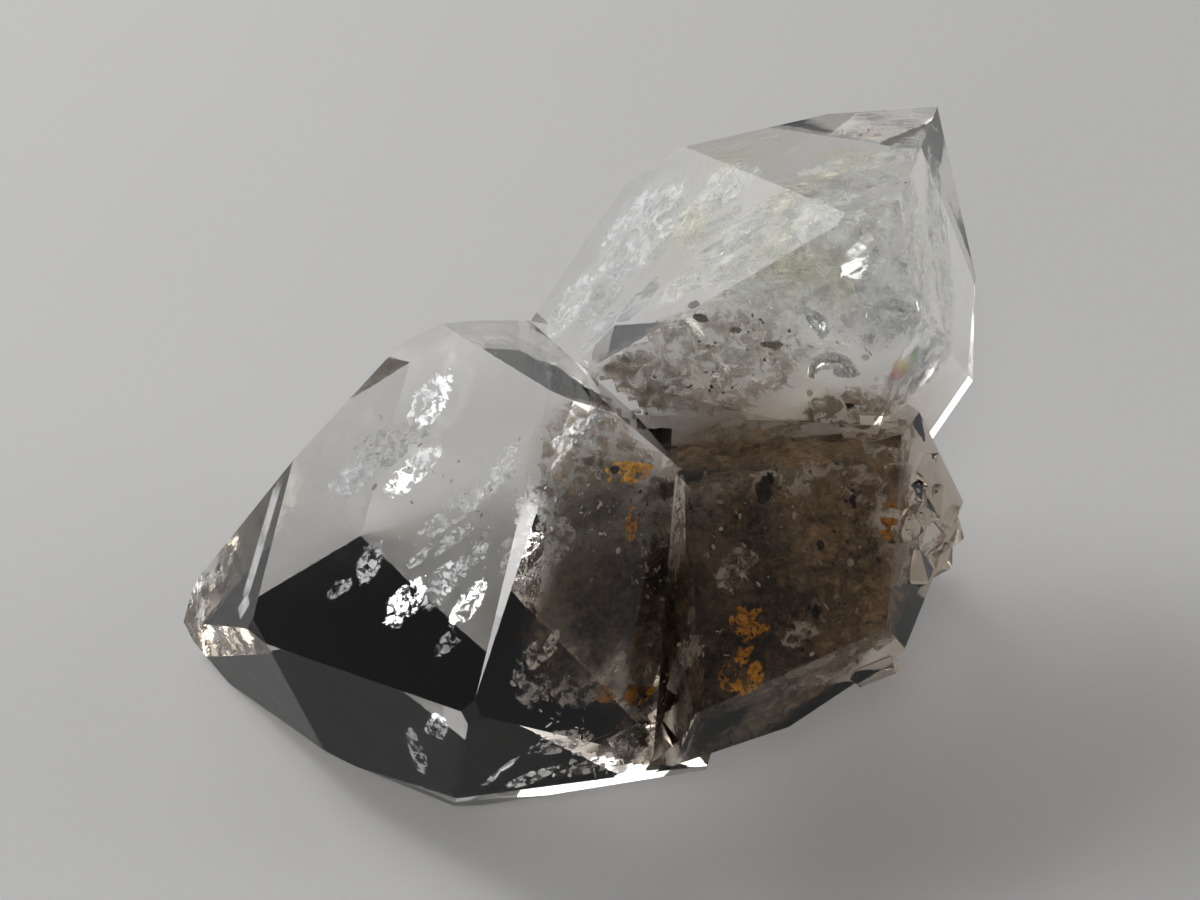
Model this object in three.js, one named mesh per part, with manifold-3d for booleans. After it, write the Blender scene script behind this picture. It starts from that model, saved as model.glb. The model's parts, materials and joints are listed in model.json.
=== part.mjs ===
// Cluster of intergrown quartz crystals of the short, stout habit called herkimer diamond.
// A clear crystal lies at the left, a milky one leans over it at the upper right, and a smoky
// mass with small crystals at its end fills the right side. All are one grown-together solid that
// rests on a small flat spot. Millimetres, +Z up, +X to the right, +Y to the back.
import * as THREE from 'three';
import { mergeVertices } from 'three/addons/utils/BufferGeometryUtils.js';
import Module from 'manifold-3d';

// Quartz angles: tilt of a face's normal from the long axis of its crystal, in degrees
const PRISM_TILT = 90;
const UPPER_END_TILT = 51.8;
const LOWER_END_TILT = 180 - UPPER_END_TILT;
const SIXTH_TURN = 60;

// Height of the surface the cluster rests on, before it is moved to zero
const TABLE = -23.4;
const TABLE_SLAB = { width: 120, depth: 20 };

// A face is [around, tilt, reach]: the heading of its normal about the long axis, the tilt of its
// normal from that axis, both in degrees, and its distance from the crystal's centre in mm
const prism = (side, reach) => [SIXTH_TURN * side, PRISM_TILT, reach];
const upperEnd = (side, reach) => [SIXTH_TURN * side, UPPER_END_TILT, reach];
const lowerEnd = (side, reach) => [SIXTH_TURN * side, LOWER_END_TILT, reach];
const growth = (around, tilt, reach) => [around, tilt, reach];

// Large clear crystal: its lower end points forwards and down, its upper end back and up
const CLEAR_CRYSTAL = {
  centre: [-8.7, -1.5, -11.3],
  axis: { heading: 69, rise: 41, spin: -80 },
  faces: [
    prism(4, 9.0),
    prism(5, 12.5),
    prism(0, 19.2),
    prism(1, 12.5),
    prism(2, 18.0),
    lowerEnd(4, 12.2),
    lowerEnd(5, 14.9),
    // left shoulder and its underside
    growth(214, 91, 13.1),
    growth(221, 133, 14.1),
    // back of the upper end
    growth(184, 61, 15.0),
    growth(176, 74, 19.1),
    growth(171, 45, 15.6),
    growth(182, 37, 16.9),
    // top of the upper end and the strip beside the milky crystal
    growth(298, 17, 16.4),
    growth(347, 28, 16.1),
    // thin rims along the lower front edge, then the underside
    growth(246, 161, 15.2),
    growth(332, 152, 15.7),
    growth(149, 151, 20.0),
    growth(95, 169, 14.3),
    growth(49, 145, 13.3),
    // narrow facet along the front ridge, small ones at the two front corners
    growth(270, 88.6, 12.24),
    growth(270, 112, 14.24),
    growth(231, 103, 11.93),
  ],
};

// Milky crystal: leans back and to the right, its upper end is the cluster's top right corner
const MILKY_CRYSTAL = {
  centre: [12.5, 7.5, 6.5],
  axis: { heading: 46, rise: 35, spin: -87 },
  faces: [
    prism(4, 4.7),
    prism(5, 8.0),
    prism(0, 9.3),
    prism(1, 16.5),
    prism(2, 13.8),
    upperEnd(4, 7.6),
    upperEnd(0, 9.8),
    upperEnd(3, 15.8),
    upperEnd(2, 17.0),
    lowerEnd(5, 3.0),
    lowerEnd(4, 10.5),
    lowerEnd(1, 17.0),
    lowerEnd(2, 18.0),
  ],
};

// Smoky mass: an irregular growth whose axis is upright, so around is a plain compass heading
const SMOKY_MASS = {
  centre: [13.3, -2.6, -10.3],
  axis: { heading: 0, rise: 90, spin: 0 },
  faces: [
    // front, top and the strip beside the clear crystal
    growth(279, 38, 8.7),
    growth(125, 15, 11.1),
    growth(199, 69, 10.7),
    // lower front and right side
    growth(292, 88, 9.7),
    growth(334, 67, 9.6),
    growth(33, 70, 13.1),
    growth(341, 116, 7.7),
    // underside and back
    growth(293, 139, 8.5),
    growth(318, 131, 7.0),
    growth(90, 121, 17.5),
    growth(167, 102, 11.4),
    growth(84, 82, 16.9),
  ],
};

// Thin flake on the lower edge of the smoky mass, its axis across its thickness
const FLAKE = {
  centre: [18.4, -10.7, -10.1],
  axis: { heading: 290, rise: 6, spin: 8 },
  faces: [
    growth(0, 0, 0.45),
    growth(0, 180, 1.2),
    prism(0, 0.9),
    prism(1, 1.7),
    prism(2, 1.5),
    prism(3, 0.9),
    prism(4, 1.7),
    prism(5, 1.5),
  ],
};

// Small blunt crystals crowded on the right end of the smoky mass, half of each sunk into it
const SMALL_LENGTH_TO_GIRTH = 0.85;
const SMALL_CRYSTALS = [
  { centre: [21.8, 0.2, -2.1], girth: 1.3, axis: { heading: 20, rise: 40, spin: 10 } },
  { centre: [20.8, -1.9, -2.7], girth: 1.5, axis: { heading: 300, rise: 35, spin: 25 } },
  { centre: [22.6, -0.1, -5.2], girth: 1.7, axis: { heading: 345, rise: 65, spin: 40 } },
  { centre: [23.9, -0.4, -7.4], girth: 1.4, axis: { heading: 60, rise: -10, spin: 5 } },
  { centre: [22.0, -2.5, -6.2], girth: 1.6, axis: { heading: 260, rise: 20, spin: 15 } },
  { centre: [20.4, -3.9, -3.3], girth: 1.3, axis: { heading: 350, rise: 80, spin: 30 } },
  { centre: [23.1, -2.6, -7.8], girth: 1.3, axis: { heading: 280, rise: 50, spin: 20 } },
  { centre: [21.2, -5.1, -6.4], girth: 1.4, axis: { heading: 40, rise: 75, spin: 0 } },
  { centre: [21.9, -1.8, -4.3], girth: 1.1, axis: { heading: 330, rise: 10, spin: 35 } },
  { centre: [23.8, -0.4, -6.0], girth: 1.0, axis: { heading: 10, rise: 30, spin: 50 } },
];

// The flat shape of a crystal: where its face planes meet, inside all the others
const INSIDE_SLACK = 1e-6;
const SAME_POINT = 1e-4;

function axisTurn({ heading, rise, spin }) {
  const turn = new THREE.Matrix4();
  turn.multiply(new THREE.Matrix4().makeRotationZ(THREE.MathUtils.degToRad(heading)));
  turn.multiply(new THREE.Matrix4().makeRotationY(THREE.MathUtils.degToRad(90 - rise)));
  turn.multiply(new THREE.Matrix4().makeRotationZ(THREE.MathUtils.degToRad(spin)));
  return turn;
}

function facePlane([around, tilt, reach]) {
  const heading = THREE.MathUtils.degToRad(around);
  const lean = THREE.MathUtils.degToRad(tilt);
  const normal = new THREE.Vector3(
    Math.sin(lean) * Math.cos(heading),
    Math.sin(lean) * Math.sin(heading),
    Math.cos(lean),
  );
  return new THREE.Plane(normal, -reach);
}

function meetingPoint(a, b, c) {
  const bc = new THREE.Vector3().crossVectors(b.normal, c.normal);
  const ca = new THREE.Vector3().crossVectors(c.normal, a.normal);
  const ab = new THREE.Vector3().crossVectors(a.normal, b.normal);
  const volume = a.normal.dot(bc);
  if (Math.abs(volume) < INSIDE_SLACK) return null;
  return bc.multiplyScalar(-a.constant)
    .addScaledVector(ca, -b.constant)
    .addScaledVector(ab, -c.constant)
    .divideScalar(volume);
}

function crystalCorners(planes) {
  const corners = [];
  for (let i = 0; i < planes.length; i += 1) {
    for (let j = i + 1; j < planes.length; j += 1) {
      for (let k = j + 1; k < planes.length; k += 1) {
        const point = meetingPoint(planes[i], planes[j], planes[k]);
        const inside = point && planes.every((p) => p.distanceToPoint(point) < SAME_POINT);
        const known = inside && corners.some((q) => q.distanceTo(point) < SAME_POINT);
        if (inside && !known) corners.push(point);
      }
    }
  }
  return corners;
}

function faceOutline(plane, corners) {
  const outline = corners.filter((q) => Math.abs(plane.distanceToPoint(q)) < 2 * SAME_POINT);
  if (outline.length < 3) return [];
  const middle = outline.reduce((sum, q) => sum.add(q), new THREE.Vector3());
  middle.divideScalar(outline.length);
  const east = outline[0].clone().sub(middle).normalize();
  const north = new THREE.Vector3().crossVectors(plane.normal, east);
  const bearing = (q) => {
    const arm = q.clone().sub(middle);
    return Math.atan2(arm.dot(north), arm.dot(east));
  };
  return outline.sort((p, q) => bearing(p) - bearing(q));
}

function crystalGeometry({ centre, axis, faces }) {
  const planes = faces.map(facePlane);
  const corners = crystalCorners(planes);
  const positions = [];
  for (const plane of planes) {
    const outline = faceOutline(plane, corners);
    for (let i = 1; i + 1 < outline.length; i += 1) {
      for (const point of [outline[0], outline[i], outline[i + 1]]) positions.push(...point);
    }
  }
  const geometry = new THREE.BufferGeometry();
  geometry.setAttribute('position', new THREE.Float32BufferAttribute(positions, 3));
  geometry.applyMatrix4(axisTurn(axis));
  geometry.translate(...centre);
  return geometry;
}

function smallCrystal({ centre, girth, axis }) {
  const end = girth * SMALL_LENGTH_TO_GIRTH;
  const sides = [0, 1, 2, 3, 4, 5];
  const faces = sides.flatMap((side) => [prism(side, girth), upperEnd(side, end), lowerEnd(side, end)]);
  return { centre, axis, faces };
}

// Joining and cutting
const wasm = await Module();
wasm.setup();

function toSolid(geometry) {
  const bare = geometry.clone();
  bare.deleteAttribute('normal');
  bare.deleteAttribute('uv');
  const merged = mergeVertices(bare);
  return new wasm.Manifold(new wasm.Mesh({
    numProp: 3,
    vertProperties: merged.attributes.position.array,
    triVerts: Uint32Array.from(merged.index.array),
  }));
}

function toGeometry(solid) {
  const { vertProperties, triVerts } = solid.getMesh();
  const geometry = new THREE.BufferGeometry();
  geometry.setAttribute('position', new THREE.BufferAttribute(vertProperties, 3));
  geometry.setIndex(new THREE.BufferAttribute(triVerts, 1));
  return geometry;
}

function belowTable() {
  const { width, depth } = TABLE_SLAB;
  return new THREE.BoxGeometry(width, width, depth).translate(0, 0, TABLE - depth / 2);
}

function clusterGeometry() {
  const crystals = [CLEAR_CRYSTAL, MILKY_CRYSTAL, SMOKY_MASS, FLAKE];
  const grown = crystals.concat(SMALL_CRYSTALS.map(smallCrystal));
  const joined = grown.map(crystalGeometry).map(toSolid).reduce((whole, crystal) => whole.add(crystal));
  return toGeometry(joined.subtract(toSolid(belowTable())));
}

function crystalCluster() {
  const geometry = clusterGeometry();
  geometry.computeBoundingBox();
  const middle = geometry.boundingBox.getCenter(new THREE.Vector3());
  const material = new THREE.MeshStandardMaterial({
    color: 0xcfc9bf,
    roughness: 0.06,
    metalness: 0,
    flatShading: true,
  });
  const mesh = new THREE.Mesh(geometry, material);
  mesh.name = 'crystal_cluster';
  mesh.position.set(-middle.x, -middle.y, -TABLE);
  return mesh;
}

const cluster = new THREE.Group();
cluster.add(crystalCluster());

export default cluster;
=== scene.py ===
"""Looks of a herkimer diamond: a clear, milky and smoky quartz cluster, and what is inside it."""

import json
import math
import random

import bmesh
import bpy
from bpy.props import FloatProperty, FloatVectorProperty, IntProperty, PointerProperty
from mathutils import Matrix, Vector
from mathutils.bvhtree import BVHTree

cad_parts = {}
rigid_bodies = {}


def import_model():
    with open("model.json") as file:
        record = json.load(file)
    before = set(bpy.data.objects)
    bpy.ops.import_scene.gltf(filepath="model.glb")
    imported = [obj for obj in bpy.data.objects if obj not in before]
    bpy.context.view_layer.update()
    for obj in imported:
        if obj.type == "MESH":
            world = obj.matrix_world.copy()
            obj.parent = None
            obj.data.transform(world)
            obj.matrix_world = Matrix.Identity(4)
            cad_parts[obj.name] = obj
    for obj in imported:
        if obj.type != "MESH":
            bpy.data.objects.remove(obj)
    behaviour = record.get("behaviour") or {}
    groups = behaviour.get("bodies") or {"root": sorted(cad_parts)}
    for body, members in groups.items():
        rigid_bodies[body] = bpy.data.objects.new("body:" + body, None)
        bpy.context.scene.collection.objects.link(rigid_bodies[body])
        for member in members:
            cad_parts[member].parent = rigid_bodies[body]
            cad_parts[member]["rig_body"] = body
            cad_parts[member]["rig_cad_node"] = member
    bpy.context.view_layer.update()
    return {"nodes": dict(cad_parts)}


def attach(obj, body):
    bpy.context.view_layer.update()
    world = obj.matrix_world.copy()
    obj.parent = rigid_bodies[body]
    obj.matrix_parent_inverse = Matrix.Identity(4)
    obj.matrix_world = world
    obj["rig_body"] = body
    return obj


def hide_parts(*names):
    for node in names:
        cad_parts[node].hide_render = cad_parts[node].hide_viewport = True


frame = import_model()
NODE = "crystal_cluster"

bl_info = {
    "name": "Herkimer diamond",
    "version": (1, 0, 0),
    "blender": (4, 5, 0),
    "location": "View3D > Sidebar > Herkimer",
    "description": "Models a grown-together quartz cluster with veils, smoke and rust inside",
    "category": "Object",
}

MM = 0.001
PICTURE = (1200, 900)
# Least distance from the quartz's faces to anything inside
CLEARANCE = 0.15 * MM
# Least bend between two faces at which the edge between them is rounded
SHARP_EDGE = math.radians(8)
ETCHED_ROUGHNESS = 0.06
FROSTED_ROUGHNESS = 0.22

# Regions with a look of their own: (middle, and the two distances from it between which the look
# fades), all in mm, as is the raggedness of their edges
SMOKY_MASS = ((16, -6, 15), 10, 19)
SMOKY_SIDE = ((4, -13, 15), 7, 14)
SOOTY_SIDE = ((4, -13, 15), 8, 14)
MILKY_CRYSTAL = ((15, 8, 33), 7, 14)
MILKY_CRYSTAL_FOOT = ((10, 2, 27), 5, 8)
SMALL_CRYSTALS = ((24.5, -5, 17.5), 1, 5)
RAGGED_EDGE = 6

# Sheets: their middle in their own flat coordinates, how far the noise of a torn film is pulled
# down towards its rim, the share of the waviness that a sheet along a face keeps, and how much
# calmer each finer cut is
SHEET_MIDDLE = (0.5, 0.5, 0)
RIM_PULL = 0.3
FLAT_WAVINESS = 0.2
FINE_WAVE_FADE = 0.4

# Grains: jags and the thickness of specks as shares of their smallest other side, sizes in mm, and
# the width of a glint as a share of its length
GRAIN_JAG = 0.35
SPECK_FLATNESS = 0.6
DUST_SIZE = (0.08, 0.32)
GLINT_LENGTH = (0.15, 0.6)
GLINT_SLIMNESS = (0.3, 0.9)
GLINT_THICKNESS = 0.03

# Each sheet is (spot in the picture, depth behind the face in mm, long and short side in mm,
# turn of the long side in the picture and lean from facing the viewer, in degrees);
# a sheet without a lean lies along the face it is behind
FLAT = None
# Mostly real fracture veils; the entries marked below are painted highlights
SILVER_SHEETS_AND_PAINTED_HIGHLIGHTS = (
    ((392, 440), 5.0, 9.0, 3.2, 14, 35),
    ((372, 462), 4.5, 8.5, 3.2, 22, 40),
    ((415, 470), 3.5, 8.0, 2.8, 40, 35),
    ((430, 400), 4.0, 6.5, 3.6, 50, 30),
    ((352, 480), 3.0, 6.0, 3.0, 30, 30),
    ((458, 508), 4.5, 10.5, 2.6, 33, 40),
    ((440, 545), 6.0, 8.0, 2.2, 28, 55),
    ((500, 470), 3.0, 6.0, 2.2, 60, 45),
    ((540, 500), 3.5, 5.5, 2.6, 70, 35),
    ((520, 545), 2.0, 4.0, 1.8, 35, 25),
    ((548, 560), 4.0, 6.0, 2.6, 40, 50),
    ((575, 430), 2.0, 4.5, 2.0, 50, 30),
    ((540, 650), 1.4, 5.0, 2.6, 40, 20),
    ((568, 690), 1.4, 7.5, 3.4, -12, 30),
    ((600, 665), 1.6, 5.5, 3.0, 20, 30),
    ((525, 690), 1.2, 4.0, 2.0, -60, 20),
    ((560, 745), 1.2, 6.5, 2.4, 8, 30),
    ((600, 765), 0.8, 7.5, 2.2, 12, 20),
    ((530, 778), 0.8, 5.5, 1.6, 25, 20),
    ((640, 735), 0.7, 6.0, 2.4, 15, FLAT),
    ((500, 772), 1.6, 5.0, 0.9, 47, 30),
    ((370, 562), 1.4, 4.4, 2.6, 60, 30),
    ((405, 602), 1.6, 5.6, 3.0, 48, 35),
    ((440, 585), 1.6, 5.4, 2.6, 52, 30),
    # Painted highlight: a flat pale sheet where a facet shows a bright strip of reflected light
    ((417, 752), 0.6, 5.4, 2.0, 80, FLAT),
    ((436, 728), 0.8, 3.4, 2.4, 60, 30),
    ((470, 560), 2.0, 4.5, 1.8, 40, 30),
    ((468, 604), 1.2, 5.4, 2.4, 52, 35),
    ((448, 642), 1.0, 3.6, 1.6, 38, 25),
    ((340, 588), 1.2, 3.0, 1.6, 30, 40),
    ((676, 520), 0.5, 10.5, 2.8, 95, FLAT),
    ((735, 568), 0.6, 4.6, 3.2, 40, FLAT),
    ((690, 650), 0.6, 4.4, 2.6, 10, FLAT),
    ((800, 632), 0.6, 4.0, 2.4, 30, FLAT),
    ((590, 430), 0.9, 5.0, 2.6, 40, FLAT),
    ((560, 540), 0.9, 5.0, 2.6, 60, FLAT),
    ((925, 505), 0.5, 4.0, 3.0, 60, FLAT),
    ((935, 545), 0.5, 3.6, 2.6, 40, FLAT),
    # The next three are painted highlights: bright sheets where the milky crystal's edge facets
    # show reflections of the light
    ((806, 191), 0.8, 2.2, 1.2, 20, 15),
    ((885, 182), 1.0, 4.0, 2.6, 30, 20),
    ((904, 207), 0.8, 1.2, 1.2, 60, 10),
    ((880, 385), 1.4, 3.2, 2.0, 50, 30),
)
# Painted highlights: pale bands just under the clear crystal's left shoulder, where its edges show
# bright reflections of the light
PAINTED_HIGHLIGHT_BANDS = (
    ((262, 540), 0.5, 10.0, 1.5, 71, FLAT),
    ((244, 606), 0.4, 2.0, 1.5, 20, FLAT),
)
RAINBOW_FILMS = (((905, 366), 0.6, 5.0, 3.0, 0, FLAT),)
STREAK_SHEETS = (
    ((700, 236), 1.2, 6.6, 2.0, 18, 40),
    ((716, 250), 1.6, 6.4, 1.8, 19, 30),
    ((728, 264), 1.4, 6.8, 2.0, 20, 45),
    ((706, 276), 1.8, 6.0, 1.8, 22, 35),
    ((738, 284), 1.6, 5.6, 1.8, 24, 40),
    ((684, 222), 1.6, 6.0, 1.8, 17, 50),
    ((745, 228), 1.4, 6.2, 2.0, 16, 30),
    ((770, 205), 1.2, 5.8, 2.0, 14, 40),
    ((640, 300), 1.4, 6.0, 2.2, 40, 35),
    ((600, 330), 1.2, 5.4, 1.8, 44, 30),
    ((790, 270), 1.6, 5.4, 2.4, 30, 35),
    ((815, 300), 1.6, 5.0, 2.6, 45, 30),
    ((855, 265), 1.4, 5.0, 2.6, 70, 35),
    ((925, 380), 1.0, 5.0, 2.8, 55, 25),
    ((720, 200), 1.2, 7.0, 2.0, 15, 35),
)
MILKY_SHEETS = (
    ((640, 230), 1.2, 12.0, 9.0, 42, FLAT),
    ((570, 305), 0.8, 8.0, 4.5, 50, FLAT),
    ((720, 190), 1.0, 14.0, 5.0, 18, FLAT),
    ((800, 250), 1.6, 11.0, 9.0, 30, FLAT),
    ((850, 165), 1.0, 9.0, 4.5, 15, FLAT),
    ((870, 300), 1.4, 9.0, 9.0, 60, FLAT),
    ((940, 250), 1.0, 17.0, 9.0, 80, FLAT),
    ((935, 345), 1.0, 10.0, 8.0, 60, FLAT),
    ((900, 390), 0.8, 9.0, 6.0, 50, FLAT),
    ((722, 225), 3.0, 8.5, 3.2, 16, 55),
    ((735, 262), 2.5, 8.0, 3.4, 20, 35),
    ((690, 280), 4.5, 8.0, 3.0, 24, 45),
    ((660, 210), 3.5, 7.0, 4.0, 40, 25),
    ((640, 250), 5.5, 8.0, 5.0, 35, 20),
    ((600, 300), 3.0, 6.0, 4.0, 45, 25),
    ((790, 190), 2.0, 7.0, 2.4, 10, 50),
    ((820, 240), 4.0, 7.0, 3.4, 30, 40),
    ((870, 250), 2.5, 6.0, 3.4, 65, 30),
    ((880, 320), 3.5, 6.5, 3.6, 75, 25),
    ((930, 180), 2.5, 6.5, 3.0, 75, 30),
    ((820, 350), 3.5, 6.0, 3.0, 20, 45),
    ((640, 230), 7.0, 9.0, 6.0, 40, 15),
    ((760, 240), 9.0, 11.0, 7.0, 30, 15),
    ((850, 220), 8.0, 9.0, 6.0, 30, 20),
    ((900, 300), 6.0, 7.0, 6.0, 60, 15),
)
SMOKY_SHEETS = (
    ((790, 560), 1.6, 17.0, 14.0, 30, FLAT),
    ((740, 660), 1.6, 14.0, 9.0, 20, FLAT),
    ((850, 600), 1.8, 11.0, 10.0, 40, FLAT),
    ((810, 490), 1.8, 16.0, 9.0, 10, FLAT),
    ((720, 515), 1.4, 11.0, 8.0, 90, FLAT),
    ((750, 430), 1.0, 13.0, 6.0, 25, FLAT),
    ((860, 420), 1.2, 10.0, 6.0, 10, FLAT),
    ((720, 455), 0.8, 10.0, 4.5, -5, FLAT),
    ((800, 450), 0.8, 11.0, 4.5, -5, FLAT),
    ((800, 690), 0.8, 12.0, 4.0, 25, FLAT),
    ((740, 735), 0.8, 9.0, 3.0, 20, FLAT),
    ((885, 600), 0.8, 7.0, 6.0, 60, FLAT),
    ((870, 500), 1.6, 13.0, 11.0, 70, FLAT),
    ((678, 640), 0.7, 11.0, 4.0, 88, FLAT),
    ((690, 710), 0.7, 8.0, 5.0, 60, FLAT),
    ((655, 715), 0.7, 8.0, 5.0, 30, FLAT),
    ((653, 642), 0.6, 9.0, 5.0, 80, FLAT),
    ((585, 615), 1.2, 12.0, 9.0, 50, FLAT),
    ((615, 540), 1.8, 17.0, 13.0, 80, FLAT),
    ((640, 630), 1.6, 14.0, 11.0, 70, FLAT),
    ((590, 460), 1.8, 11.0, 9.0, 60, FLAT),
    ((640, 745), 1.0, 10.0, 4.0, 10, FLAT),
    ((705, 365), 1.0, 18.0, 10.0, 22, FLAT),
    ((640, 385), 0.9, 10.0, 6.0, 20, FLAT),
    ((650, 600), 6.0, 9.0, 6.0, 80, 20),
    ((800, 560), 5.0, 10.0, 7.0, 40, 20),
    ((840, 620), 4.5, 7.0, 6.0, 50, 25),
    ((790, 540), 11.0, 10.0, 8.0, 30, 10),
    ((740, 600), 10.0, 9.0, 7.0, 60, 15),
    ((850, 560), 10.0, 8.0, 7.0, 50, 20),
)
RUST_FILMS = (
    ((750, 621), 0.7, 3.4, 2.8, 0, 12),
    ((740, 675), 0.7, 3.9, 2.9, 12, 12),
    ((632, 524), 0.8, 2.9, 1.1, 85, 15),
    ((628, 472), 0.9, 5.2, 2.0, 0, 20),
    ((641, 690), 1.0, 3.6, 2.4, 30, 25),
    ((604, 694), 1.2, 2.6, 1.6, -10, 25),
    ((907, 479), 0.5, 1.4, 1.2, 0, 10),
    ((891, 515), 0.5, 2.3, 1.9, 80, 10),
    ((885, 536), 0.5, 1.4, 1.1, 20, 10),
    ((941, 542), 0.4, 1.4, 1.2, 60, 10),
    ((745, 648), 1.4, 2.2, 1.4, 60, 30),
)
# Each curved crack is (spot in the picture, depth behind the face and width in mm, turn of its brim
# and lean of its bulge from facing the viewer, in degrees), cut off at a share of its ball's radius
CURVED_CRACKS = (
    ((916, 304), 2.0, 4.4, 0, 55),
    ((830, 362), 1.8, 3.8, 15, 60),
    ((846, 368), 1.4, 2.0, 10, 55),
    ((821, 322), 2.2, 2.6, -60, 60),
)
CRACK_CUT = 0.3
# Colours of the rainbow film from side to side
RAINBOW = (
    (0.30, (0.12, 0.52, 0.45)),
    (0.42, (0.80, 0.28, 0.42)),
    (0.54, (0.86, 0.74, 0.22)),
    (0.66, (0.90, 0.88, 0.80)),
    (0.78, (0.45, 0.75, 0.30)),
    (0.90, (0.08, 0.28, 0.78)),
)
# Each speck is (spot in the picture, depth behind the face in mm, width and height in mm)
CARBON_SPECKS = (
    ((817, 611), 0.8, 0.6, 0.9),
    ((763, 490), 1.0, 0.9, 1.7),
    ((770, 478), 1.6, 0.6, 0.8),
    ((667, 562), 0.9, 1.0, 2.2),
    ((660, 585), 1.4, 0.8, 1.4),
    ((672, 600), 1.8, 0.6, 1.0),
    ((800, 628), 0.9, 0.3, 0.4),
    ((796, 640), 1.1, 0.3, 0.5),
    ((803, 650), 0.9, 0.3, 0.3),
    ((640, 628), 1.6, 0.5, 0.5),
    ((615, 470), 1.4, 0.7, 0.5),
    ((700, 318), 2.0, 1.2, 0.5),
    ((772, 345), 1.8, 1.6, 0.6),
    ((735, 330), 2.6, 1.0, 0.4),
    ((820, 545), 1.3, 0.5, 0.7),
    ((853, 500), 1.2, 0.4, 0.9),
    ((878, 560), 1.0, 0.4, 0.5),
    ((850, 405), 1.2, 0.7, 0.4),
    ((930, 235), 1.3, 0.8, 0.4),
)
# Patches strewn with dust or glints: (spot in the picture, depth in mm, spread in mm, how many)
CARBON_DUST = (
    ((660, 575), 2.0, 2.6, 26),
    ((800, 540), 2.5, 4.0, 26),
    ((620, 620), 2.5, 3.0, 18),
    ((850, 600), 2.0, 3.0, 14),
    ((760, 340), 2.5, 2.4, 16),
    ((720, 700), 1.0, 2.4, 16),
    ((760, 470), 1.0, 3.2, 30),
    ((850, 500), 1.0, 3.2, 30),
    ((800, 640), 0.9, 2.6, 24),
    ((870, 540), 1.0, 2.6, 24),
    ((720, 600), 1.0, 2.6, 20),
    ((645, 530), 1.2, 3.0, 40),
    ((610, 600), 1.2, 3.0, 36),
    ((700, 365), 0.8, 3.0, 30),
)
GLINT_PATCHES = (
    ((400, 450), 4.5, 3.0, 30),
    ((460, 510), 4.0, 3.4, 40),
    ((550, 500), 2.5, 3.4, 50),
    ((590, 550), 2.0, 3.0, 40),
    ((570, 690), 2.0, 2.6, 40),
    ((640, 590), 1.6, 2.6, 40),
    ((720, 250), 2.0, 3.4, 40),
    ((850, 220), 2.5, 3.4, 30),
    ((850, 350), 2.0, 3.0, 36),
    ((925, 520), 1.2, 2.0, 40),
    ((740, 570), 1.2, 2.4, 34),
    ((820, 620), 1.2, 2.6, 24),
    ((690, 650), 1.2, 2.0, 24),
    ((580, 760), 1.4, 2.0, 24),
    ((600, 500), 1.0, 3.2, 44),
    ((650, 560), 0.9, 2.8, 36),
    ((760, 520), 1.0, 3.4, 36),
    ((840, 580), 1.0, 3.0, 30),
    ((660, 700), 0.8, 2.6, 30),
)

# The studio: brightness of the room from the horizon up, soft boxes as (direction, half angle that
# is fully lit, half angle of the rim, brightness), and lamps as (name, place, width, power), with
# the point that they shine on
SKY = ((0.0, (0.55, 0.55, 0.55)), (0.35, (0.22, 0.22, 0.23)), (0.7, (0.12, 0.12, 0.125)))
SOFT_BOXES = (
    ((-0.75, 0.45, 0.50), math.radians(16), math.radians(32), 3.4),
    ((0.90, 0.20, 0.32), math.radians(12), math.radians(26), 3.0),
    ((-0.45, -0.85, 0.35), math.radians(8), math.radians(20), 1.6),
    ((0.05, 0.75, 0.75), math.radians(8), math.radians(20), 1.6),
    ((-0.12, -0.59, 0.81), math.radians(6), math.radians(11), 10.0),
)
LAMPS = (("key", (-0.22, 0.18, 0.30), 0.16, 0.8),)
LAMP_AIM = (0, 0, 0.02)


class CrystalSettings(bpy.types.PropertyGroup):
    """Sizes and colours of the quartz itself."""

    ior: FloatProperty(
        name="Refractive index",
        description="How strongly the quartz bends light",
        default=1.544,
    )
    edge_width: FloatProperty(
        name="Edge width",
        description="Width of the tiny rounding along each edge",
        default=0.1 * MM,
        subtype="DISTANCE",
        unit="LENGTH",
    )
    absorption: FloatProperty(
        name="Absorption",
        description="How strongly light is absorbed, per metre of quartz",
        default=9.0,
    )
    body_colour: FloatVectorProperty(
        name="Body colour",
        description="Colour that light takes on inside the quartz",
        default=(0.86, 0.82, 0.75),
        subtype="COLOR",
    )
    clear_colour: FloatVectorProperty(
        name="Clear colour",
        description="Tint of the clear crystal",
        default=(0.97, 0.97, 0.96),
        subtype="COLOR",
    )
    smoky_colour: FloatVectorProperty(
        name="Smoky colour",
        description="Tint of the smoky mass and of the clear crystal's right side",
        default=(0.38, 0.285, 0.20),
        subtype="COLOR",
    )
    milky_colour: FloatVectorProperty(
        name="Milky colour",
        description="Tint of the milky crystal",
        default=(0.93, 0.92, 0.86),
        subtype="COLOR",
    )
    stain_colour: FloatVectorProperty(
        name="Stain colour",
        description="Yellowish stain of the milky crystal",
        default=(0.88, 0.86, 0.64),
        subtype="COLOR",
    )


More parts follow.
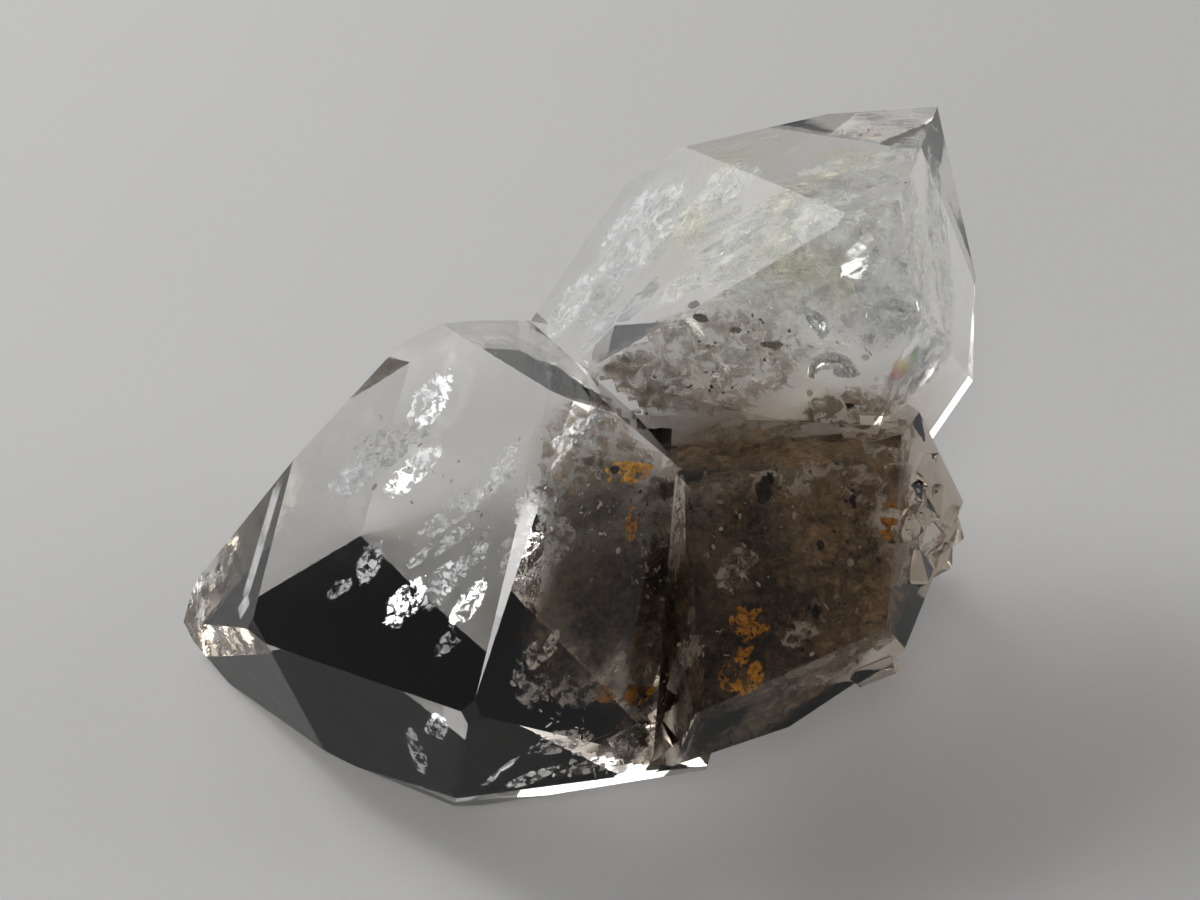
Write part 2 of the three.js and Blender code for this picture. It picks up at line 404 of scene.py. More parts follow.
class InclusionSettings(bpy.types.PropertyGroup):
    """Colours and roughness of what is shut inside the quartz."""

    # Colour of the silver veils, streaks, milky veils, cracks and glints, and also of the painted
    # highlights
    veil_and_painted_highlight_colour: FloatVectorProperty(
        name="Veil colour",
        description="Colour of the silvery fracture veils",
        default=(0.93, 0.94, 0.95),
        subtype="COLOR",
    )
    smoke_colour: FloatVectorProperty(
        name="Smoke colour",
        description="Colour of the smoky clouds",
        default=(0.60, 0.48, 0.35),
        subtype="COLOR",
    )
    rust_colour: FloatVectorProperty(
        name="Rust colour",
        description="Bright colour of the rusty films",
        default=(0.88, 0.42, 0.03),
        subtype="COLOR",
    )
    ochre_colour: FloatVectorProperty(
        name="Ochre colour",
        description="Palest colour of the rusty films",
        default=(0.95, 0.62, 0.16),
        subtype="COLOR",
    )
    carbon_colour: FloatVectorProperty(
        name="Carbon colour",
        description="Colour of the carbon specks",
        default=(0.012, 0.011, 0.010),
        subtype="COLOR",
    )
    waviness: FloatProperty(
        name="Waviness",
        description="How far veils swing out of their plane, as a share of their mesh size",
        default=0.28,
    )
    seed: IntProperty(
        name="Seed",
        description="Start of the random numbers for dust and glints",
        default=7,
    )


class StageSettings(bpy.types.PropertyGroup):
    """The viewpoint, the floor and the light."""

    aim: FloatVectorProperty(
        name="Aim",
        description="Point that the camera looks at",
        default=(1.72 * MM, -4.27 * MM, 23.4 * MM),
        subtype="TRANSLATION",
        unit="LENGTH",
    )
    elevation: FloatProperty(
        name="Elevation",
        description="Height of the camera above the horizon",
        default=math.radians(45),
        subtype="ANGLE",
    )
    distance: FloatProperty(
        name="Distance",
        description="Distance from the camera to its aim",
        default=163 * MM,
        subtype="DISTANCE",
        unit="LENGTH",
    )
    field_of_view: FloatProperty(
        name="Field of view",
        description="Angle that the camera takes in from side to side",
        default=math.radians(28),
        subtype="ANGLE",
    )
    floor_colour: FloatVectorProperty(
        name="Floor colour",
        description="Colour of the plain floor",
        default=(0.38, 0.376, 0.37),
        subtype="COLOR",
    )
    floor_size: FloatProperty(
        name="Floor size",
        description="Width of the plain floor",
        default=6.0,
        subtype="DISTANCE",
        unit="LENGTH",
    )


# Where things lie
def view_axes():
    """The picture's right, up and towards-the-viewer directions."""
    rise = bpy.context.scene.herkimer_stage.elevation
    right = Vector((1, 0, 0))
    up = Vector((0, math.sin(rise), math.cos(rise)))
    return right, up, right.cross(up)


def camera_place():
    stage = bpy.context.scene.herkimer_stage
    return Vector(stage.aim) + view_axes()[2] * stage.distance


def quartz_tree():
    mesh = frame["nodes"][NODE].data
    corners = [corner.co for corner in mesh.vertices]
    return BVHTree.FromPolygons(corners, [face.vertices for face in mesh.polygons])


def behind_face(tree, spot, depth):
    """The point that shows at a spot of the picture, this far in mm along the bent line of sight,
    and the outward direction of the face in front of it."""
    right, up, towards = view_axes()
    spread = math.tan(bpy.context.scene.herkimer_stage.field_of_view / 2)
    half = PICTURE[0] / 2
    across = (spot[0] - half) / half * spread
    above = (PICTURE[1] / 2 - spot[1]) / half * spread
    sight = (right * across + up * above - towards).normalized()
    point, normal, _, _ = tree.ray_cast(camera_place(), sight)
    if point is None:
        raise RuntimeError(f"no quartz shows at {spot}")
    slow = 1 / bpy.context.scene.herkimer_crystal.ior
    slant = -normal.dot(sight)
    bent = sight * slow + normal * (slow * slant - math.sqrt(1 - slow**2 * (1 - slant**2)))
    return point + bent * depth * MM, normal


def is_inside(tree, point):
    near, normal, _, _ = tree.find_nearest(point)
    return (point - near).dot(normal) < -CLEARANCE


def sheet_turn(turn, lean, normal=None):
    """Rotation of a sheet: its long side is turned in the picture, and it leans from the viewer
    or, without a lean, lies along the face with that normal."""
    right, up, towards = view_axes()
    swing = math.radians(turn)
    along = right * math.cos(swing) + up * math.sin(swing)
    if lean is not FLAT:
        tip = math.radians(lean)
        normal = towards * math.cos(tip) + towards.cross(along) * math.sin(tip)
    along = (along - normal * along.dot(normal)).normalized()
    return Matrix((along, normal.cross(along), normal)).transposed().to_euler()


# Modelling
def start_clean():
    if bpy.context.object and bpy.context.object.mode != "OBJECT":
        bpy.ops.object.mode_set(mode="OBJECT")
    bpy.ops.object.select_all(action="DESELECT")


def apply_place():
    bpy.ops.object.transform_apply(location=True, rotation=True, scale=True)


def edit_all():
    bpy.ops.object.mode_set(mode="EDIT")
    bpy.ops.mesh.select_all(action="SELECT")


def join_parts(parts):
    start_clean()
    for part in parts:
        part.select_set(True)
    bpy.context.view_layer.objects.active = parts[0]
    if len(parts) > 1:
        bpy.ops.object.join()
    return bpy.context.object


def join_as(parts, name, material):
    """Joins the parts in one piece that rides with the quartz."""
    piece = join_parts(parts)
    apply_place()
    piece.name = name
    piece.data.name = name
    piece.data.materials.clear()
    piece.data.materials.append(material)
    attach(piece, "root")
    return piece


def trim_to_quartz(tree, part):
    """Cuts away what would stick out of the quartz, and gives what is left, or None."""
    bpy.ops.object.mode_set(mode="EDIT")
    bpy.ops.mesh.select_all(action="DESELECT")
    edited = bmesh.from_edit_mesh(part.data)
    for vert in edited.verts:
        vert.select = not is_inside(tree, vert.co)
    edited.select_flush_mode()
    bmesh.update_edit_mesh(part.data)
    bpy.ops.mesh.delete(type="VERT")
    bpy.ops.object.mode_set(mode="OBJECT")
    if len(part.data.polygons) > 0:
        return part
    bpy.data.objects.remove(part)
    return None


def add_sheet(tree, place, cuts, seed):
    """A wavy sheet at one place, trimmed to the quartz."""
    spot, depth, width, height, turn, lean = place
    point, normal = behind_face(tree, spot, depth)
    start_clean()
    tilt = sheet_turn(turn, lean, normal)
    bpy.ops.mesh.primitive_plane_add(size=1, location=point, rotation=tilt)
    sheet = bpy.context.object
    sheet.scale = (width * MM, height * MM, 1)
    apply_place()
    edit_all()
    waviness = bpy.context.scene.herkimer_inclusions.waviness
    if lean is FLAT:
        waviness *= FLAT_WAVINESS
    for cut in range(cuts):
        bpy.ops.mesh.subdivide(
            number_cuts=1,
            fractal=waviness / (1 + cut * FINE_WAVE_FADE),
            fractal_along_normal=1,
            seed=seed + cut,
        )
    bpy.ops.mesh.vertices_smooth(factor=0.5, repeat=2)
    bpy.ops.object.mode_set(mode="OBJECT")
    bpy.ops.object.shade_smooth()
    return trim_to_quartz(tree, sheet)


def add_sheets(places, cuts, seed):
    tree = quartz_tree()
    made = [add_sheet(tree, place, cuts, seed + 10 * i) for i, place in enumerate(places)]
    return [sheet for sheet in made if sheet]


def add_shell(tree, place):
    """The cap of a hollow ball, as a curved crack leaves it, trimmed to the quartz."""
    spot, depth, width, turn, lean = place
    point, _ = behind_face(tree, spot, depth)
    tilt = sheet_turn(turn, lean)
    bulge = tilt.to_matrix() @ Vector((0, 0, 1))
    radius = width * MM / 2
    centre = point - bulge * radius * (1 + CRACK_CUT) / 2
    start_clean()
    bpy.ops.mesh.primitive_uv_sphere_add(
        segments=48, ring_count=48, radius=radius, location=centre, rotation=tilt
    )
    shell = bpy.context.object
    apply_place()
    edit_all()
    brim = centre + bulge * radius * CRACK_CUT
    bpy.ops.mesh.bisect(plane_co=brim, plane_no=bulge, clear_inner=True)
    bpy.ops.object.mode_set(mode="OBJECT")
    bpy.ops.object.shade_smooth()
    return trim_to_quartz(tree, shell)


def add_grain(tree, centre, size, turn, seed):
    """One jagged grain of that size, unless its centre is outside the quartz."""
    if not is_inside(tree, centre):
        return None
    start_clean()
    bpy.ops.mesh.primitive_ico_sphere_add(
        subdivisions=2, radius=0.5, location=centre, rotation=turn
    )
    grain = bpy.context.object
    grain.scale = size
    apply_place()
    edit_all()
    jag = min(size) * GRAIN_JAG
    bpy.ops.transform.vertex_random(offset=jag, uniform=0.4, normal=0.6, seed=seed)
    bpy.ops.object.mode_set(mode="OBJECT")
    return trim_to_quartz(tree, grain)


def strew(tree, chance, patches, pick_size):
    """Grains scattered about the spot of each patch, one joined clump a patch."""
    clumps = []
    for spot, depth, spread, count in patches:
        middle, _ = behind_face(tree, spot, depth)
        grains = []
        for i in range(count):
            shift = Vector([chance.gauss(0, spread * MM / 2) for _ in range(3)])
            size = pick_size(chance)
            turn = [chance.uniform(0, math.tau) for _ in range(3)]
            grains.append(add_grain(tree, middle + shift, size, turn, i))
        clumps.append(join_parts([grain for grain in grains if grain]))
    return clumps


def dust_size(chance):
    return Vector([chance.uniform(*DUST_SIZE) * MM for _ in range(3)])


def glint_size(chance):
    length = chance.uniform(*GLINT_LENGTH) * MM
    return Vector((length, length * chance.uniform(*GLINT_SLIMNESS), GLINT_THICKNESS * MM))


# Nodes
def new_material(name, **constants):
    material = bpy.data.materials.new(name)
    material.use_nodes = True
    shader = material.node_tree.nodes["Principled BSDF"]
    for socket, value in constants.items():
        shader.inputs[socket].default_value = value
    return material, material.node_tree, shader


def add_node(tree, kind, **settings):
    node = tree.nodes.new(kind)
    for key, value in settings.items():
        if key in node.inputs:
            node.inputs[key].default_value = value
        else:
            setattr(node, key, value)
    return node


def noise_of(tree, scale, detail=6.0, rough=0.6, stretch=(1, 1, 1), warp=0.0):
    """Noise in the piece's own coordinates; scale is in features per metre."""
    place = add_node(tree, "ShaderNodeTexCoord")
    mapping = add_node(tree, "ShaderNodeMapping", Scale=stretch)
    noise = add_node(
        tree, "ShaderNodeTexNoise", Scale=scale, Detail=detail, Roughness=rough, Distortion=warp
    )
    tree.links.new(place.outputs["Object"], mapping.inputs["Vector"])
    tree.links.new(mapping.outputs["Vector"], noise.inputs["Vector"])
    return noise.outputs["Fac"]


def ramp_of(tree, value, stops):
    ramp = add_node(tree, "ShaderNodeValToRGB")
    while len(ramp.color_ramp.elements) < len(stops):
        ramp.color_ramp.elements.new(0.5)
    for element, (position, colour) in zip(ramp.color_ramp.elements, stops):
        element.position = position
        element.color = (*colour, 1)
    tree.links.new(value, ramp.inputs["Fac"])
    return ramp.outputs["Color"]


def range_of(tree, value, source, target=(0.0, 1.0)):
    """Carries a value smoothly from one range to another."""
    band = add_node(tree, "ShaderNodeMapRange", interpolation_type="SMOOTHSTEP")
    ends = ("From Min", "From Max", "To Min", "To Max")
    for socket, amount in zip(ends, (*source, *target)):
        band.inputs[socket].default_value = amount
    tree.links.new(value, band.inputs["Value"])
    return band.outputs["Result"]


def math_of(tree, operation, *values):
    node = add_node(tree, "ShaderNodeMath", operation=operation)
    for socket, value in zip(node.inputs, values):
        if isinstance(value, (int, float)):
            socket.default_value = value
        else:
            tree.links.new(value, socket)
    return node.outputs["Value"]


def mix_of(tree, amount, first, second):
    mix = add_node(tree, "ShaderNodeMix", data_type="RGBA")
    tree.links.new(amount, mix.inputs["Factor"])
    colours = [socket for socket in mix.inputs if socket.type == "RGBA"]
    for socket, value in zip(colours, (first, second)):
        if hasattr(value, "is_output"):
            tree.links.new(value, socket)
        else:
            socket.default_value = (*value, 1)
    return next(socket for socket in mix.outputs if socket.type == "RGBA")


def distance_of(tree, coordinates, centre):
    place = add_node(tree, "ShaderNodeTexCoord")
    gap = add_node(tree, "ShaderNodeVectorMath", operation="DISTANCE")
    gap.inputs[1].default_value = centre
    tree.links.new(place.outputs[coordinates], gap.inputs[0])
    return gap.outputs["Value"]


def near_of(tree, region):
    """1 in the middle of a region, falling to 0 between its two distances, with a ragged edge."""
    centre, inner, outer = region
    ragged = math_of(tree, "MULTIPLY", noise_of(tree, scale=180, detail=2), RAGGED_EDGE * MM)
    away = math_of(tree, "ADD", distance_of(tree, "Object", Vector(centre) * MM), ragged)
    reach = [(distance + RAGGED_EDGE / 2) * MM for distance in (inner, outer)]
    return range_of(tree, away, reach, (1.0, 0.0))


def patch_of(tree, inner, outer):
    """1 in the middle of each sheet, 0 at its rim, by the sheet's own flat coordinates."""
    return range_of(tree, distance_of(tree, "UV", SHEET_MIDDLE), (inner, outer), (1.0, 0.0))


def flat_of(tree):
    """A sheet's own flat coordinates, along its long and its short side."""
    place = add_node(tree, "ShaderNodeTexCoord")
    parts = add_node(tree, "ShaderNodeSeparateXYZ")
    tree.links.new(place.outputs["UV"], parts.inputs["Vector"])
    return parts.outputs["X"], parts.outputs["Y"]


def band_of(tree):
    """1 along the middle of each sheet, 0 at its four sides."""
    fades = []
    for side, middle in zip(flat_of(tree), SHEET_MIDDLE):
        off = math_of(tree, "ABSOLUTE", math_of(tree, "SUBTRACT", side, middle))
        fades.append(range_of(tree, off, (0.30, 0.5), (1.0, 0.0)))
    return math_of(tree, "MULTIPLY", *fades)


def ragged_film(tree, noise, cover, haze):
    """Alpha of a torn film: noise between two limits, pulled under them towards the rim, up to a
    top value, over a haze."""
    low, high, top = cover
    rim = patch_of(tree, inner=0.3, outer=0.5)
    pulled = math_of(tree, "ADD", noise, math_of(tree, "MULTIPLY", rim, RIM_PULL))
    film = range_of(tree, pulled, (low + RIM_PULL, high + RIM_PULL), (0.0, top))
    return math_of(tree, "MAXIMUM", film, math_of(tree, "MULTIPLY", rim, haze))


def shade_of(colour, share):
    return tuple(part * share for part in colour)


def paint(tree, shader, value, stops):
    """Colours the surface by a value, from stop to stop."""
    tree.links.new(ramp_of(tree, value, stops), shader.inputs["Base Color"])


# Materials
def quartz_material(settings):
    """Clear quartz, smoky, milky and stained in its regions, etched and frosted in places."""
    material, tree, shader = new_material("quartz", IOR=settings.ior)
    shader.inputs["Transmission Weight"].default_value = 1.0
    smoky = math_of(tree, "MAXIMUM", near_of(tree, SMOKY_MASS), near_of(tree, SMOKY_SIDE))
    tint = mix_of(tree, smoky, settings.clear_colour, settings.smoky_colour)
    stained = range_of(tree, noise_of(tree, scale=150, detail=2), (0.48, 0.62))
    milk = mix_of(tree, stained, settings.milky_colour, settings.stain_colour)
    tint = mix_of(tree, near_of(tree, MILKY_CRYSTAL), tint, milk)
    tree.links.new(tint, shader.inputs["Base Color"])
    pits = noise_of(tree, scale=420, detail=3, rough=0.7)
    etched = range_of(tree, pits, (0.60, 0.78), (0.0, ETCHED_ROUGHNESS))
    crowded = near_of(tree, SMALL_CRYSTALS)
    frosted = range_of(tree, crowded, (0.0, 1.0), (0.0, FROSTED_ROUGHNESS))
    tree.links.new(math_of(tree, "MAXIMUM", etched, frosted), shader.inputs["Roughness"])
    ripples = add_node(tree, "ShaderNodeBump", Strength=0.05, Distance=0.2 * MM)
    swell = noise_of(tree, scale=260, detail=3, stretch=(1, 1, 3))
    tree.links.new(swell, ripples.inputs["Height"])
    tree.links.new(ripples.outputs["Normal"], shader.inputs["Normal"])
    body = add_node(tree, "ShaderNodeVolumeAbsorption", Density=settings.absorption)
    body.inputs["Color"].default_value = (*settings.body_colour, 1)
    output = tree.nodes["Material Output"]
    tree.links.new(body.outputs["Volume"], output.inputs["Volume"])
    return material


def veil_material(name, colour, cover, haze, scale, metallic, rough, stretch=(1, 1, 1)):
    """A wispy sheet: where its noise is high it shows, elsewhere the light goes through."""
    material, tree, shader = new_material(name, Metallic=metallic, Roughness=rough)
    grains = noise_of(tree, scale * 0.8, detail=2, stretch=stretch)
    paint(tree, shader, grains, ((0.36, shade_of(colour, 0.6)), (0.62, colour)))
    wisps = noise_of(tree, scale, detail=3, rough=0.68, stretch=stretch, warp=0.6)
    tree.links.new(ragged_film(tree, wisps, cover, haze), shader.inputs["Alpha"])
    return material


def painted_highlight_material(settings):
    """Painted highlight: a smooth pale band inside an edge, standing for light as it leaves the
    edge.
    """
    material, tree, shader = new_material("painted_highlight", Roughness=0.35)
    bright = settings.veil_and_painted_highlight_colour
    grains = noise_of(tree, scale=500, detail=2)
    paint(tree, shader, grains, ((0.35, shade_of(bright, 0.8)), (0.6, bright)))
    clouds = range_of(tree, noise_of(tree, scale=700, detail=2), (0.3, 0.6), (0.5, 0.85))
    tree.links.new(math_of(tree, "MULTIPLY", clouds, band_of(tree)), shader.inputs["Alpha"])
    return material


def crack_material(settings):
    """A clean curved crack: a mirror at its brim, thin in the middle of its bulge."""
    material, tree, shader = new_material("crack", Metallic=0.9, Roughness=0.05)
    bright = settings.veil_and_painted_highlight_colour
    grains = noise_of(tree, scale=600, detail=2)
    paint(tree, shader, grains, ((0.4, shade_of(bright, 0.7)), (0.6, bright)))
    _, height = flat_of(tree)
    tree.links.new(range_of(tree, height, (0.62, 0.92), (0.9, 0.3)), shader.inputs["Alpha"])
    return material


def rainbow_material():
    """A crack so thin that it shows colours."""
    material, tree, shader = new_material("rainbow", Roughness=0.3)
    across, _ = flat_of(tree)
    drift = math_of(tree, "MULTIPLY", noise_of(tree, scale=500, detail=2), 0.5)
    order = math_of(tree, "ADD", math_of(tree, "MULTIPLY", across, 0.7), drift)
    paint(tree, shader, order, RAINBOW)
    film = math_of(tree, "MULTIPLY", patch_of(tree, inner=0.15, outer=0.48), 0.75)
    tree.links.new(film, shader.inputs["Alpha"])
    return material


def smoke_material(settings):
    """Grainy brown clouds, sooty in the clear crystal's side, thinner in the milky one's foot."""
    material, tree, shader = new_material("smoke", Roughness=0.8)
    pale = settings.smoke_colour
    grains = noise_of(tree, scale=1500, detail=4, rough=0.75)
    drift = math_of(tree, "MULTIPLY", noise_of(tree, scale=220, detail=2), 0.5)
    mottle = math_of(tree, "ADD", math_of(tree, "MULTIPLY", grains, 0.75), drift)
    brown = ramp_of(tree, mottle, ((0.50, shade_of(pale, 0.24)), (0.74, pale)))
    soot = ramp_of(tree, mottle, ((0.54, shade_of(pale, 0.044)), (0.76, shade_of(pale, 0.40))))
    sooty = near_of(tree, SOOTY_SIDE)
    tree.links.new(mix_of(tree, sooty, brown, soot), shader.inputs["Base Color"])
    cloud = noise_of(tree, scale=1000, detail=3, rough=0.68, warp=0.6)
    haze = math_of(tree, "ADD", 0.4, math_of(tree, "MULTIPLY", sooty, 0.45))
    film = ragged_film(tree, cloud, (0.30, 0.60, 0.94), haze)
    thin = range_of(tree, near_of(tree, MILKY_CRYSTAL_FOOT), (0.0, 1.0), (1.0, 0.75))
    tree.links.new(math_of(tree, "MULTIPLY", film, thin), shader.inputs["Alpha"])
    return material


def rust_material(settings):
    """Crumbly films, from dark rust to ochre."""
    material, tree, shader = new_material("rust", Roughness=0.75)
    bright = settings.rust_colour
    stops = ((0.35, shade_of(bright, 0.3)), (0.55, bright), (0.75, settings.ochre_colour))
    paint(tree, shader, noise_of(tree, scale=2600, detail=4), stops)
    crumbs = range_of(tree, noise_of(tree, scale=1500, detail=5, rough=0.72), (0.44, 0.56))
    cover = math_of(tree, "MULTIPLY", crumbs, patch_of(tree, inner=0.28, outer=0.5))
    tree.links.new(range_of(tree, cover, (0.15, 0.5)), shader.inputs["Alpha"])
    return material


def carbon_material(settings):
    material, tree, shader = new_material("carbon", Roughness=0.45)
    dark = settings.carbon_colour
    grains = noise_of(tree, scale=3000)
    paint(tree, shader, grains, ((0.4, dark), (0.7, shade_of(dark, 4))))
    return material


def glint_material(settings):
    material, tree, shader = new_material("glint", Metallic=0.1, Roughness=0.2)
    bright = settings.veil_and_painted_highlight_colour
    grains = noise_of(tree, scale=2000, detail=3)
    paint(tree, shader, grains, ((0.4, shade_of(bright, 0.8)), (0.6, bright)))
    return material


def floor_material(settings):
    material, tree, shader = new_material("floor", Roughness=0.7)
    pale = settings.floor_colour
    paint(tree, shader, noise_of(tree, scale=30), ((0.3, shade_of(pale, 0.985)), (0.7, pale)))
    return material


# The stage
def add_floor(stage):
    start_clean()
    bpy.ops.mesh.primitive_plane_add(size=stage.floor_size, location=(0, 0, 0))
    floor = bpy.context.object
    floor.name = "floor"
    floor.data.materials.append(floor_material(stage))


def light_room(scene):
    """A room that is bright at the horizon, with soft boxes in it."""
    scene.world = bpy.data.worlds.new("studio")
    scene.world.use_nodes = True
    tree = scene.world.node_tree
    direction = add_node(tree, "ShaderNodeTexCoord").outputs["Generated"]
    parts = add_node(tree, "ShaderNodeSeparateXYZ")
    tree.links.new(direction, parts.inputs["Vector"])
    sky = ramp_of(tree, parts.outputs["Z"], SKY)
    for aim, inner, outer, glow in SOFT_BOXES:
        facing = add_node(tree, "ShaderNodeVectorMath", operation="DOT_PRODUCT")
        facing.inputs[1].default_value = Vector(aim).normalized()
        tree.links.new(direction, facing.inputs[0])
        rim = (math.cos(outer), math.cos(inner))
        box = range_of(tree, facing.outputs["Value"], rim, (0.0, glow))
        lit = add_node(tree, "ShaderNodeVectorMath", operation="ADD")
        tree.links.new(sky, lit.inputs[0])
        tree.links.new(box, lit.inputs[1])
        sky = lit.outputs["Vector"]
    tree.links.new(sky, tree.nodes["Background"].inputs["Color"])


def add_lamps():
    for name, place, size, power in LAMPS:
        turn = (Vector(LAMP_AIM) - Vector(place)).to_track_quat("-Z", "Y").to_euler()
        bpy.ops.object.light_add(type="AREA", location=place, rotation=turn)
        lamp = bpy.context.object
        lamp.name = name
        lamp.data.size = size
        lamp.data.energy = power


def set_light_paths(scene):
    scene.view_settings.view_transform = "Standard"
    scene.view_settings.exposure = -0.05
    scene.cycles.max_bounces = 12
    scene.cycles.transmission_bounces = 12
    scene.cycles.glossy_bounces = 8
    scene.cycles.transparent_max_bounces = 24


def add_camera(stage):
    tip = (math.pi / 2 - stage.elevation, 0, 0)
    bpy.ops.object.camera_add(location=camera_place(), rotation=tip)
    camera = bpy.context.object
    camera.data.sensor_fit = "HORIZONTAL"
    camera.data.angle = stage.field_of_view
    camera.data.clip_start = 10 * MM
    bpy.context.scene.camera = camera


# Operators
class HERKIMER_OT_crystal(bpy.types.Operator):
    """The quartz: the cluster's solid, its faces made whole and its edges very slightly rounded"""

    bl_idname = "herkimer.crystal"
    bl_label = "Quartz"

    def execute(self, context):
        settings = context.scene.herkimer_crystal
        start_clean()
        node = frame["nodes"][NODE]
        node.select_set(True)
        context.view_layer.objects.active = node
        bpy.ops.object.duplicate()
        crystal = context.object
        bpy.ops.object.parent_clear(type="CLEAR_KEEP_TRANSFORM")
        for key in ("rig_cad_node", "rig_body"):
            del crystal[key]
        edit_all()
        bpy.ops.mesh.remove_doubles(threshold=0.002 * MM)
        bpy.ops.mesh.dissolve_limited(angle_limit=math.radians(0.5))
        bpy.ops.mesh.normals_make_consistent(inside=False)
        edited = bmesh.from_edit_mesh(crystal.data)
        for edge in edited.edges:
            edge.select = edge.calc_face_angle_signed(0) > SHARP_EDGE
        bmesh.update_edit_mesh(crystal.data)
        bpy.ops.mesh.bevel(offset=settings.edge_width, segments=2, clamp_overlap=True)
        bpy.ops.object.mode_set(mode="OBJECT")
        crystal = join_as([crystal], "quartz", quartz_material(settings))
        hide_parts(NODE)
        return {"FINISHED"}


class HERKIMER_OT_veils_and_painted_highlights(bpy.types.Operator):
    """Silvery fracture veils, most of them in the clear crystal, and a few bright sheets that are
    painted highlights where facets show reflections
    """

    bl_idname = "herkimer.veils"
    bl_label = "Silver veils"

    def execute(self, context):
        material = veil_material(
            "silver_veil_and_painted_highlight",
            context.scene.herkimer_inclusions.veil_and_painted_highlight_colour,
            cover=(0.42, 0.58, 1.0),
            haze=0.0,
            scale=1700,
            metallic=0.4,
            rough=0.22,
        )
        join_as(add_sheets(SILVER_SHEETS_AND_PAINTED_HIGHLIGHTS, cuts=5, seed=100), "silver_veils_and_painted_highlights", material)
        return {"FINISHED"}


class HERKIMER_OT_streaks(bpy.types.Operator):
    """Bright streaks, stacked in the leaning crystal"""

    bl_idname = "herkimer.streaks"
    bl_label = "Streaks"

    def execute(self, context):
        material = veil_material(
            "streak",
            context.scene.herkimer_inclusions.veil_and_painted_highlight_colour,
            cover=(0.40, 0.54, 1.0),
            haze=0.0,
            scale=1100,
            metallic=0.5,
            rough=0.2,
            stretch=(0.25, 1, 1),
        )
        join_as(add_sheets(STREAK_SHEETS, cuts=5, seed=300), "streaks", material)
        return {"FINISHED"}


class HERKIMER_OT_milk(bpy.types.Operator):
    """Milky veils, stacked in the leaning crystal"""

    bl_idname = "herkimer.milk"
    bl_label = "Milky veils"

    def execute(self, context):
        material = veil_material(
            "milk",
            context.scene.herkimer_inclusions.veil_and_painted_highlight_colour,
            cover=(0.36, 0.62, 0.9),
            haze=0.3,
            scale=900,
            metallic=0.0,
            rough=0.5,
        )
        join_as(add_sheets(MILKY_SHEETS, cuts=5, seed=500), "milky_veils", material)
        return {"FINISHED"}


class HERKIMER_OT_painted_highlights(bpy.types.Operator):
    """Painted highlights: smooth bright bands along the clear crystal's left shoulder"""

    bl_idname = "herkimer.gleams"
    bl_label = "Gleams"

    def execute(self, context):
        material = painted_highlight_material(context.scene.herkimer_inclusions)
        join_as(add_sheets(PAINTED_HIGHLIGHT_BANDS, cuts=4, seed=700), "gleams", material)
        return {"FINISHED"}


class HERKIMER_OT_cracks(bpy.types.Operator):
    """Clean curved cracks low in the leaning crystal"""

    bl_idname = "herkimer.cracks"
    bl_label = "Curved cracks"

    def execute(self, context):
        material = crack_material(context.scene.herkimer_inclusions)
        tree = quartz_tree()
        shells = [add_shell(tree, place) for place in CURVED_CRACKS]
        join_as([shell for shell in shells if shell], "curved_cracks", material)
        return {"FINISHED"}


class HERKIMER_OT_rainbow(bpy.types.Operator):
    """A rainbow-coloured crack low in the leaning crystal"""

    bl_idname = "herkimer.rainbow"
    bl_label = "Rainbow film"

    def execute(self, context):
        films = add_sheets(RAINBOW_FILMS, cuts=4, seed=800)
        join_as(films, "rainbow_film", rainbow_material())
        return {"FINISHED"}


class HERKIMER_OT_smoke(bpy.types.Operator):
    """Smoky brown clouds in the right side"""

    bl_idname = "herkimer.smoke"
    bl_label = "Smoke"

    def execute(self, context):
        material = smoke_material(context.scene.herkimer_inclusions)
        join_as(add_sheets(SMOKY_SHEETS, cuts=4, seed=900), "smoke", material)
        return {"FINISHED"}


class HERKIMER_OT_rust(bpy.types.Operator):
    """Crumbly rust-coloured films just under the faces"""

    bl_idname = "herkimer.rust"
    bl_label = "Rust films"

    def execute(self, context):
        material = rust_material(context.scene.herkimer_inclusions)
        join_as(add_sheets(RUST_FILMS, cuts=4, seed=1300), "rust_films", material)
        return {"FINISHED"}


class HERKIMER_OT_carbon(bpy.types.Operator):
    """Black carbon specks and dust"""

    bl_idname = "herkimer.carbon"
    bl_label = "Carbon"

    def execute(self, context):
        settings = context.scene.herkimer_inclusions
        tree = quartz_tree()
        facing_viewer = sheet_turn(turn=0, lean=0)
        specks = []
        for i, (spot, depth, width, height) in enumerate(CARBON_SPECKS):
            size = Vector((width, height, SPECK_FLATNESS * min(width, height))) * MM
            centre, _ = behind_face(tree, spot, depth)
            specks.append(add_grain(tree, centre, size, facing_viewer, i))
        clumps = [speck for speck in specks if speck]
        clumps += strew(tree, random.Random(settings.seed), CARBON_DUST, dust_size)
        join_as(clumps, "carbon", carbon_material(settings))
        return {"FINISHED"}


class HERKIMER_OT_glints(bpy.types.Operator):
    """Small bright flakes that sparkle in the fractures"""

    bl_idname = "herkimer.glints"
    bl_label = "Glints"

    def execute(self, context):
        settings = context.scene.herkimer_inclusions
        chance = random.Random(settings.seed + 1)
        clumps = strew(quartz_tree(), chance, GLINT_PATCHES, glint_size)
        join_as(clumps, "glints", glint_material(settings))
        return {"FINISHED"}


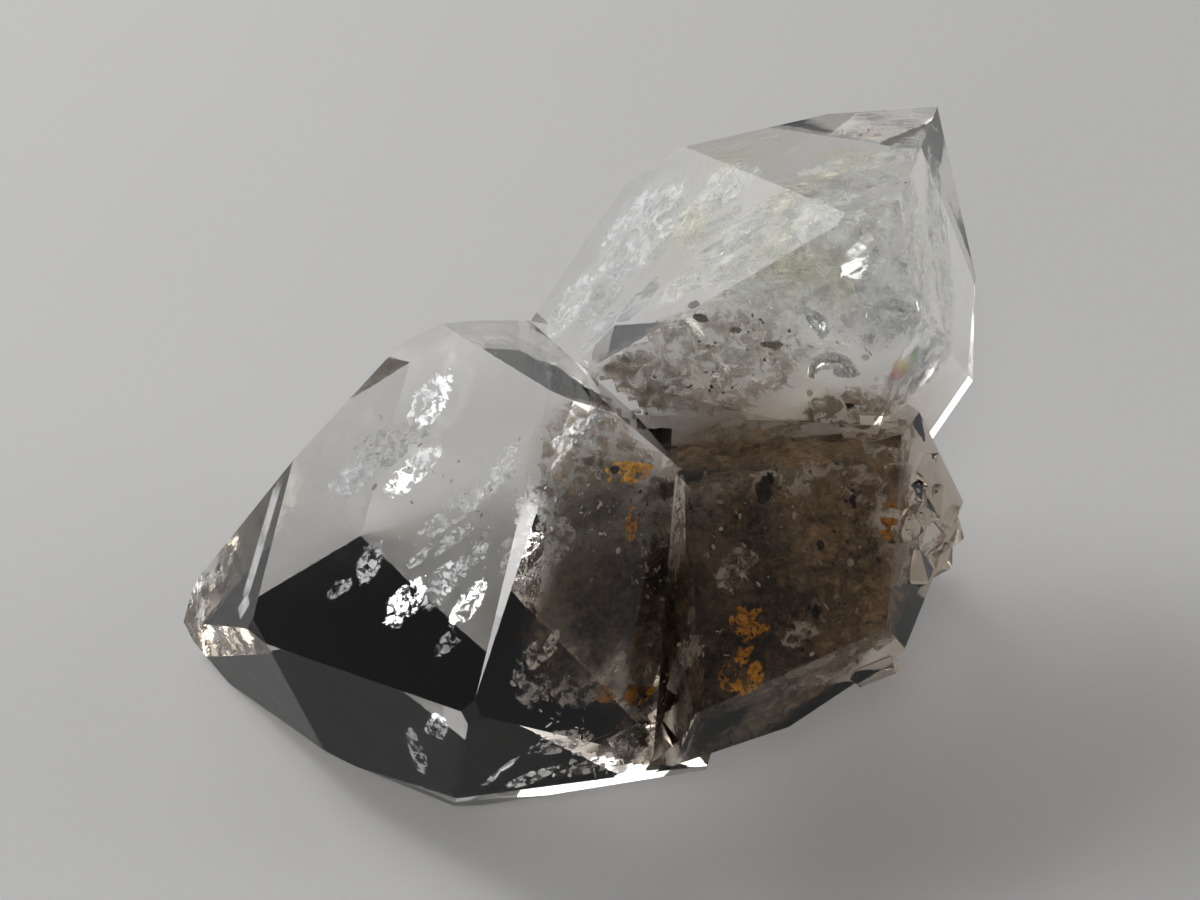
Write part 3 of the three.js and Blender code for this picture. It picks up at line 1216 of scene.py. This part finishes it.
class HERKIMER_OT_stage(bpy.types.Operator):
    """The floor, the soft light and the camera"""

    bl_idname = "herkimer.stage"
    bl_label = "Stage"

    def execute(self, context):
        add_floor(context.scene.herkimer_stage)
        light_room(context.scene)
        add_lamps()
        set_light_paths(context.scene)
        add_camera(context.scene.herkimer_stage)
        return {"FINISHED"}


STEPS = (
    HERKIMER_OT_crystal,
    HERKIMER_OT_veils_and_painted_highlights,
    HERKIMER_OT_streaks,
    HERKIMER_OT_milk,
    HERKIMER_OT_painted_highlights,
    HERKIMER_OT_cracks,
    HERKIMER_OT_rainbow,
    HERKIMER_OT_smoke,
    HERKIMER_OT_rust,
    HERKIMER_OT_carbon,
    HERKIMER_OT_glints,
    HERKIMER_OT_stage,
)


class HERKIMER_PT_panel(bpy.types.Panel):
    """Lists the steps and their settings"""

    bl_idname = "HERKIMER_PT_panel"
    bl_label = "Herkimer diamond"
    bl_space_type = "VIEW_3D"
    bl_region_type = "UI"
    bl_category = "Herkimer"

    def draw(self, context):
        for step in STEPS:
            self.layout.operator(step.bl_idname)
        for group in (
            context.scene.herkimer_crystal,
            context.scene.herkimer_inclusions,
            context.scene.herkimer_stage,
        ):
            box = self.layout.box()
            for name in group.__annotations__:
                box.prop(group, name)


CLASSES = (CrystalSettings, InclusionSettings, StageSettings, *STEPS, HERKIMER_PT_panel)


def register():
    for kind in CLASSES:
        bpy.utils.register_class(kind)
    bpy.types.Scene.herkimer_crystal = PointerProperty(type=CrystalSettings)
    bpy.types.Scene.herkimer_inclusions = PointerProperty(type=InclusionSettings)
    bpy.types.Scene.herkimer_stage = PointerProperty(type=StageSettings)


def unregister():
    del bpy.types.Scene.herkimer_stage
    del bpy.types.Scene.herkimer_inclusions
    del bpy.types.Scene.herkimer_crystal
    for kind in reversed(CLASSES):
        bpy.utils.unregister_class(kind)


def main():
    register()
    bpy.ops.herkimer.crystal()
    bpy.ops.herkimer.veils()
    bpy.ops.herkimer.streaks()
    bpy.ops.herkimer.milk()
    bpy.ops.herkimer.gleams()
    bpy.ops.herkimer.cracks()
    bpy.ops.herkimer.rainbow()
    bpy.ops.herkimer.smoke()
    bpy.ops.herkimer.rust()
    bpy.ops.herkimer.carbon()
    bpy.ops.herkimer.glints()
    bpy.ops.herkimer.stage()


if __name__ == "__main__":
    main()
